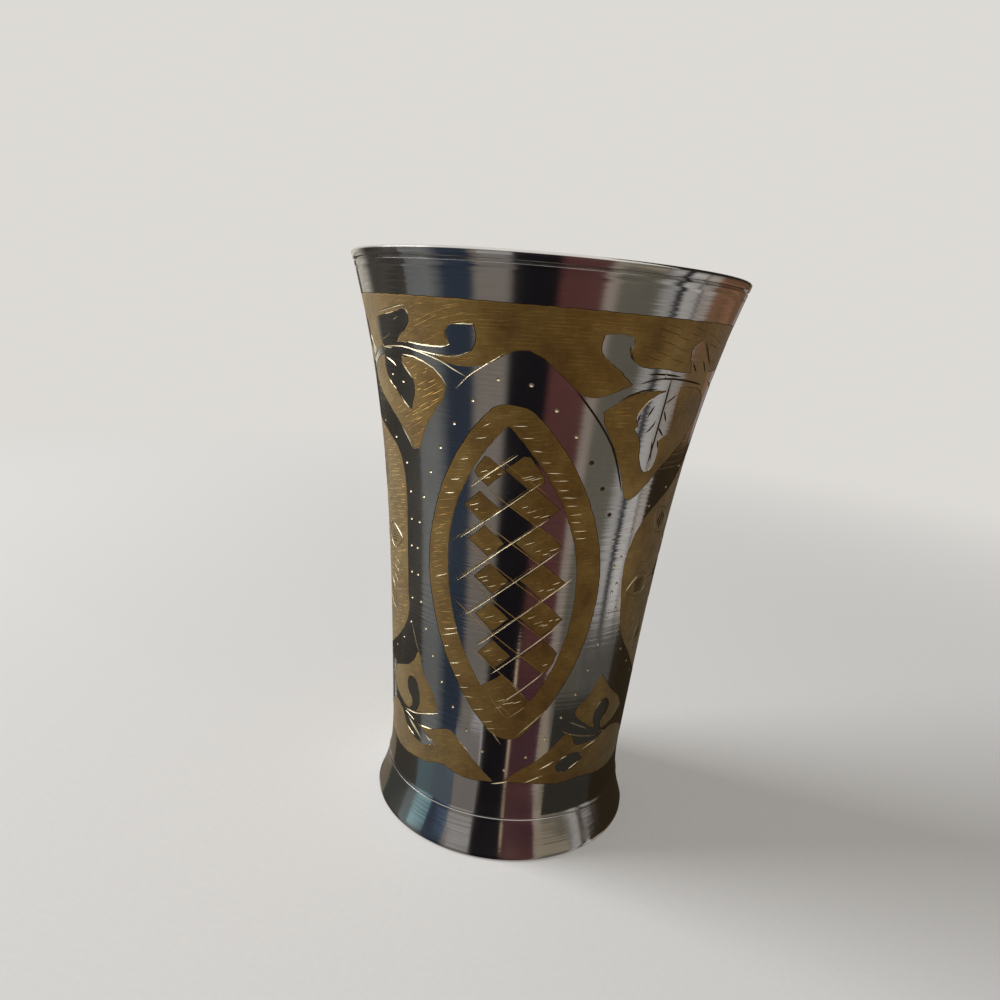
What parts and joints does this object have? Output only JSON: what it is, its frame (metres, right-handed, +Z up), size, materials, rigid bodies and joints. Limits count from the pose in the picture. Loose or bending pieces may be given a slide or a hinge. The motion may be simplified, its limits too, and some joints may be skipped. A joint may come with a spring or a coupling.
{
  "type": "metal tumbler cup",
  "caption": "Flared plated brass tumbler with cut traditional ornament, a grooved lip, a soldered-in floor and a flared foot ring; holds a drink and stands on its foot.",
  "frame": {"origin": "on the cup's axis, at the underside of the foot", "axes": "+Z up the cup's axis towards the rim; -Y towards the viewer of the picture"},
  "size_m": [0.076, 0.076, 0.112],
  "materials": {
    "plated_wall": "bright nickel plate over brass, with hand-cut ornament through to dull brass",
    "plated_foot": "bright nickel plate over turned brass, fine lathe lines",
    "plated_floor": "satin nickel plate over pressed brass",
    "solder": "dull grey soft solder"
  },
  "bodies": {
    "root": {"body_wall": "plated_wall", "foot_ring": "plated_foot", "floor_disc": "plated_floor", "floor_solder": "solder", "foot_solder": "solder"}
  },
  "joints": []
}
